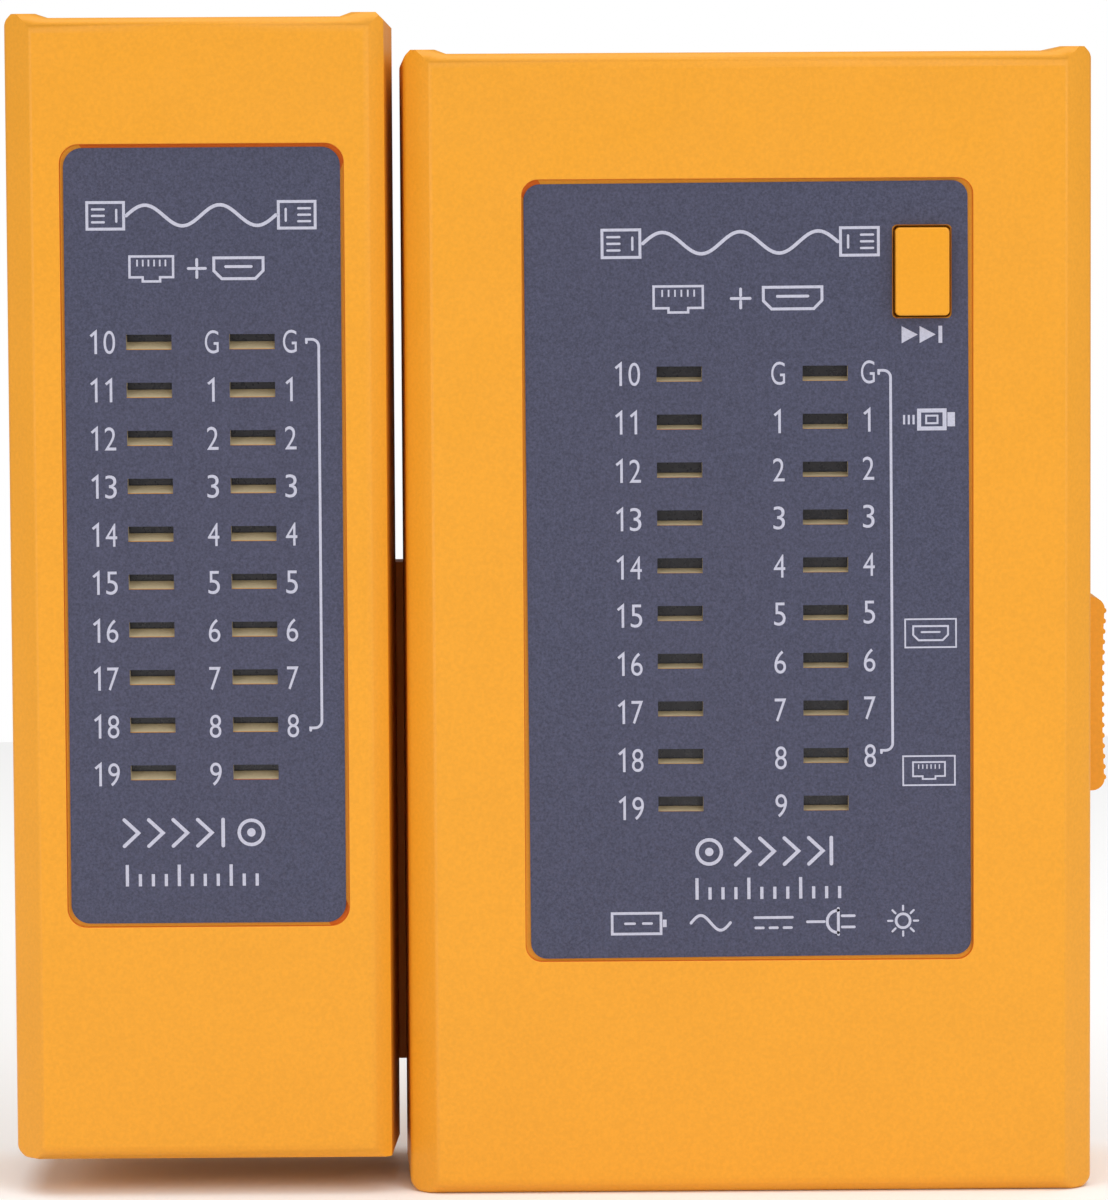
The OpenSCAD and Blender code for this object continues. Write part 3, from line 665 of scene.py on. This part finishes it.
class Print:
    """Screen print on an overlay, drawn in millimetres from the overlay's middle."""

    def __init__(self, unit, tilt):
        self.unit = unit
        lo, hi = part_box(unit.name + "_overlay")
        mid = (lo + hi) / 2
        self.middle = unit.local(mid)
        self.tilt = math.radians(tilt)
        self.bm = bmesh.new()
        self.glyphs = {}

    def vert(self, x, z):
        c, s = math.cos(self.tilt), math.sin(self.tilt)
        px = self.middle[0] + x * c - z * s
        pz = self.middle[2] + z * c + x * s
        return self.bm.verts.new(self.unit.at(px, OVERLAY_Y - 0.02, pz))

    def face(self, points):
        """A flat patch; its points run round it either way."""
        area = sum(
            a[0] * b[1] - b[0] * a[1] for a, b in zip(points, points[1:] + points[:1])
        )
        if area < 0:
            points = points[::-1]
        self.bm.faces.new([self.vert(*p) for p in points])

    def stroke(self, points, width=0.3, closed=False, round_ends=True):
        """A line of even width through the points."""
        h = width / 2
        n = len(points)
        left, right = [], []
        for i in range(n):
            steps = []
            if i > 0 or closed:
                steps.append((points[i - 1], points[i]))
            if i < n - 1 or closed:
                steps.append((points[i], points[(i + 1) % n]))
            normals = []
            for a, b in steps:
                d = math.hypot(b[0] - a[0], b[1] - a[1])
                normals.append((-(b[1] - a[1]) / d, (b[0] - a[0]) / d))
            if len(normals) == 1:
                m = normals[0]
            else:
                (ax, az), (bx, bz) = normals
                k = 1 + ax * bx + az * bz
                m = ((ax + bx) / k, (az + bz) / k)
            x, z = points[i]
            left.append((x + m[0] * h, z + m[1] * h))
            right.append((x - m[0] * h, z - m[1] * h))
        for i in range(n if closed else n - 1):
            j = (i + 1) % n
            self.face([right[i], right[j], left[j], left[i]])
        if round_ends and not closed:
            for a, b, p, q in (
                (left[0], right[0], points[0], points[1]),
                (right[-1], left[-1], points[-1], points[-2]),
            ):
                start = math.atan2(a[1] - p[1], a[0] - p[0])
                arc = [
                    (p[0] + h * math.cos(start + t * math.pi / 6), p[1] + h * math.sin(start + t * math.pi / 6))
                    for t in range(7)
                ]
                self.face(arc)

    def ring(self, x, z, r, width=0.3, parts=28):
        pts = [
            (x + r * math.cos(2 * math.pi * i / parts), z + r * math.sin(2 * math.pi * i / parts))
            for i in range(parts)
        ]
        self.stroke(pts, width, closed=True)

    def disc(self, x, z, r, parts=20):
        self.face(
            [
                (x + r * math.cos(2 * math.pi * i / parts), z + r * math.sin(2 * math.pi * i / parts))
                for i in range(parts)
            ]
        )

    def bar(self, x0, z0, x1, z1):
        self.face([(x0, z0), (x1, z0), (x1, z1), (x0, z1)])

    def box(self, x0, z0, x1, z1, width=0.3):
        self.stroke([(x0, z0), (x1, z0), (x1, z1), (x0, z1)], width, closed=True)

    def mark(self, char, x, z):
        """One character of even height about (x, z). The 1 is a stem with a flag."""
        h = MARK_H
        w = LETTER_W if char.isalpha() else DIGIT_W
        if char == "1":
            flag = [(x - 0.42, z + h * 0.27), (x + 0.12, z + h / 2 - 0.12), (x + 0.12, z - h / 2)]
            self.stroke(flag, 0.27, round_ends=False)
            return
        if char not in self.glyphs:
            self.glyphs[char] = glyph(char)
        points, faces = self.glyphs[char]
        xs = [p[0] for p in points]
        zs = [p[1] for p in points]
        kx = w / (max(xs) - min(xs))
        kz = h / (max(zs) - min(zs))
        mx, mz = (max(xs) + min(xs)) / 2, (max(zs) + min(zs)) / 2
        for f in faces:
            self.face([(x + (points[i][0] - mx) * kx, z + (points[i][1] - mz) * kz) for i in f])

    def number(self, text, x, z):
        """Digits in cells of even width about (x, z)."""
        step = DIGIT_W + DIGIT_GAP
        for i, char in enumerate(text):
            self.mark(char, x + (i - (len(text) - 1) / 2) * step, z)

    def finish(self):
        name = self.unit.name + "_print"
        mesh = bpy.data.meshes.new(name)
        bmesh.ops.remove_doubles(self.bm, verts=self.bm.verts, dist=1e-6)
        self.bm.normal_update()
        for f in self.bm.faces:
            if f.normal.y > 0:
                f.normal_flip()
        self.bm.to_mesh(mesh)
        self.bm.free()
        mesh.materials.append(ink_material)
        piece = bpy.data.objects.new(name, mesh)
        scene.collection.objects.link(piece)
        thick = piece.modifiers.new("ink_film", "SOLIDIFY")
        thick.thickness = 0.03 * MM
        thick.offset = -1.0
        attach(piece, self.unit.name)
        return piece


def arc(x, z, r, start, end, parts=8):
    return [
        (
            x + r * math.cos(math.radians(start + (end - start) * i / parts)),
            z + r * math.sin(math.radians(start + (end - start) * i / parts)),
        )
        for i in range(parts + 1)
    ]


def network_plug(p, x, z, h, side, w=0.3):
    """A modular plug seen from above: body, latch and contact lines. side is +1 when its cable leaves to +x."""
    l = h * 1.25
    x0, x1 = x - l / 2, x + l / 2
    p.box(x0, z - h / 2 + w / 2, x1, z + h / 2 - w / 2, w)
    for i in range(3):
        cz = z + (i - 1) * h * 0.22
        p.stroke([(x - side * l * 0.36, cz), (x - side * l * 0.04, cz)], w * 0.8)
    p.stroke([(x + side * l * 0.3, z - h * 0.2), (x + side * l * 0.3, z + h * 0.2)], w * 0.8)


def display_plug(p, x, z, l, h, w=0.25):
    """The display connector's outline: a flat shape with cut lower corners, and its contact bar."""
    k = h * 0.38
    x0, x1, z0, z1 = x - l / 2, x + l / 2, z - h / 2, z + h / 2
    p.stroke([(x0 + k, z0), (x1 - k, z0), (x1, z0 + k), (x1, z1), (x0, z1), (x0, z0 + k)], w, closed=True)
    p.stroke([(x0 + l * 0.24, z + h * 0.08), (x1 - l * 0.24, z + h * 0.08)], w)


def socket_face(p, x, z, l, h, w=0.25):
    """The network socket's outline with six contact lines."""
    x0, x1, z0, z1 = x - l / 2, x + l / 2, z - h / 2, z + h / 2
    n = l * 0.2
    p.stroke(
        [(x0, z0), (x - n, z0), (x - n, z0 - h * 0.2), (x + n, z0 - h * 0.2)]
        + [(x + n, z0), (x1, z0), (x1, z1), (x0, z1)],
        w,
        closed=True,
    )
    for i in range(6):
        cx = x + (i - 2.5) * l * 0.13
        p.stroke([(cx, z1 - h * 0.16), (cx, z + h * 0.02)], w * 0.7, round_ends=False)


def bracket(p, x_start, x_line, x_end, z_top, z_low, w=0.28):
    """Brace that gathers the network rows: a hook at the top, a long line, a hook at the bottom."""
    r = 0.75
    points = [(x_start, z_top - 0.35), (x_start, z_top)]
    points += arc(x_line - r, z_top - r, r, 90, 0)
    points += arc(x_line - r, z_low + r, r, 0, -90)
    points += [(x_end, z_low), (x_end, z_low - 0.25)]
    p.stroke(points, w)


# Master's overlay: numbers beside the LED rows, and pictograms in place of its words
ink_m = Print(master, 0.25)
mx, _, mz = ink_m.middle
for i in range(10):
    z = master.row(i) - mz
    ink_m.number("1%d" % i, master.columns[0] - mx - 5.45, z + 0.05 - 0.05 * i)
    label = "G" if i == 0 else "%d" % i
    ink_m.mark(label, master.columns[1] - mx - 4.9, z - 0.03 * i)
    if i < 9:
        ink_m.mark(label, master.columns[1] - mx + 4.6, z + 0.05 - 0.02 * i)
top_z, low_z = master.row(0) - mz, master.row(8) - mz
bracket(ink_m, 13.95, 15.2, 14.0, top_z + 0.2, low_z + 0.45)
network_plug(ink_m, -13.2, 34.8, 3.2, 1)
network_plug(ink_m, 12.0, 34.8, 3.2, -1)
ink_m.stroke(
    [(-10.9 + 20.6 * i / 60, 34.8 + 1.15 * math.sin(2 * math.pi * 2.5 * i / 60)) for i in range(61)], 0.36
)
socket_face(ink_m, -7.2, 29.1, 5.2, 2.3)
ink_m.stroke([(-1.6, 28.9), (0.4, 28.9)], 0.3)
ink_m.stroke([(-0.6, 29.2), (-0.6, 29.9)], 0.3)
ink_m.stroke([(-0.6, 27.9), (-0.6, 28.6)], 0.3)
display_plug(ink_m, 4.9, 28.9, 6.2, 2.3, 0.3)
for dx in (16.4, 18.3):
    ink_m.face([(dx, 24.0), (dx + 1.7, 24.9), (dx, 25.8)])
ink_m.bar(20.3, 24.0, 20.7, 25.8)
ink_m.box(18.2, 14.95, 20.9, 16.85, 0.42)
ink_m.box(18.95, 15.5, 20.15, 16.3, 0.2)
ink_m.bar(21.2, 15.15, 22.0, 16.65)
for dx in (17.5, 17.0, 16.5):
    ink_m.bar(dx, 15.4, dx + 0.22, 16.4)
ink_m.box(16.6, -8.3, 22.0, -5.3, 0.17)
display_plug(ink_m, 19.3, -6.8, 3.7, 1.5, 0.2)
ink_m.box(16.3, -23.0, 21.8, -19.9, 0.17)
socket_face(ink_m, 19.05, -21.3, 3.4, 1.5, 0.18)
ink_m.ring(-4.4, -29.9, 1.3, 0.36)
ink_m.disc(-4.4, -29.9, 0.45)
for dx in (-1.6, 1.0, 3.6, 6.2):
    ink_m.stroke([(dx, -31.3), (dx + 1.5, -29.9), (dx, -28.5)], 0.38)
ink_m.stroke([(8.6, -31.3), (8.6, -28.5)], 0.38)
for i in range(12):
    dx = -5.9 + i * 1.38
    ink_m.bar(dx, -35.0, dx + 0.34, -32.7 if i % 4 == 0 else -33.7)
ink_m.box(-14.8, -38.6, -9.6, -36.4, 0.28)
ink_m.bar(-9.4, -37.9, -9.0, -37.1)
ink_m.stroke([(-13.4, -37.5), (-12.4, -37.5)], 0.26)
ink_m.stroke([(-11.5, -37.5), (-10.6, -37.5)], 0.26)
ink_m.stroke([(-6.4 + 4.2 * i / 30, -37.5 + 0.8 * math.sin(2 * math.pi * i / 30)) for i in range(31)], 0.3)
ink_m.stroke([(0.4, -37.0), (4.4, -37.0)], 0.28)
for i in range(3):
    ink_m.stroke([(0.5 + i * 1.5, -38.1), (1.3 + i * 1.5, -38.1)], 0.28)
ink_m.stroke(arc(9.3, -37.5, 1.2, 90, 270, 10), 0.3)
ink_m.stroke([(9.3, -36.1), (9.3, -38.9)], 0.3)
ink_m.stroke([(9.7, -36.9), (11.0, -36.9)], 0.28)
ink_m.stroke([(9.7, -38.1), (11.0, -38.1)], 0.28)
ink_m.stroke([(6.0, -37.5), (7.8, -37.5)], 0.28)
ink_m.ring(16.2, -37.5, 0.75, 0.28, 20)
for i in range(8):
    a = math.radians(45 * i)
    ink_m.stroke(
        [(16.2 + r * math.cos(a), -37.5 + r * math.sin(a)) for r in (1.15, 1.6)],
        0.22,
    )
ink_m.finish()

# Remote's overlay
ink_r = Print(remote, 0.0)
rx, _, rz = ink_r.middle
for i in range(10):
    z = remote.row(i) - rz
    ink_r.number("1%d" % i, remote.columns[0] - rx - 4.95, z - 0.02 * i)
    label = "G" if i == 0 else "%d" % i
    ink_r.mark(label, remote.columns[1] - rx - 4.25, z - 0.02 * i)
    if i < 9:
        ink_r.mark(label, remote.columns[1] - rx + 4.0, z - 0.02 * i)
top_z, low_z = remote.row(0) - rz, remote.row(8) - rz
bracket(ink_r, 10.9, 12.2, 11.0, top_z + 0.2, low_z - 0.4)
network_plug(ink_r, -10.2, 34.0, 3.1, 1)
network_plug(ink_r, 10.0, 34.0, 3.1, -1)
ink_r.stroke(
    [(-8.0 + 15.8 * i / 60, 34.0 + 1.1 * math.sin(2 * math.pi * 2 * i / 60)) for i in range(61)], 0.36
)
socket_face(ink_r, -5.4, 28.6, 4.6, 2.2)
ink_r.stroke([(-1.5, 28.4), (0.3, 28.4)], 0.3)
ink_r.stroke([(-0.6, 28.7), (-0.6, 29.35)], 0.3)
ink_r.stroke([(-0.6, 27.45), (-0.6, 28.1)], 0.3)
display_plug(ink_r, 3.8, 28.4, 5.2, 2.2, 0.3)
ink_r.ring(4.6, -31.5, 1.3, 0.36)
ink_r.disc(4.6, -31.5, 0.45)
for dx in (-8.9, -6.3, -3.7, -1.1):
    ink_r.stroke([(dx, -32.9), (dx + 1.5, -31.5), (dx, -30.1)], 0.38)
ink_r.stroke([(1.6, -32.9), (1.6, -30.1)], 0.38)
for i in range(11):
    dx = -8.8 + i * 1.38
    ink_r.bar(dx, -37.2, dx + 0.34, -34.9 if i % 4 == 0 else -35.9)
ink_r.finish()
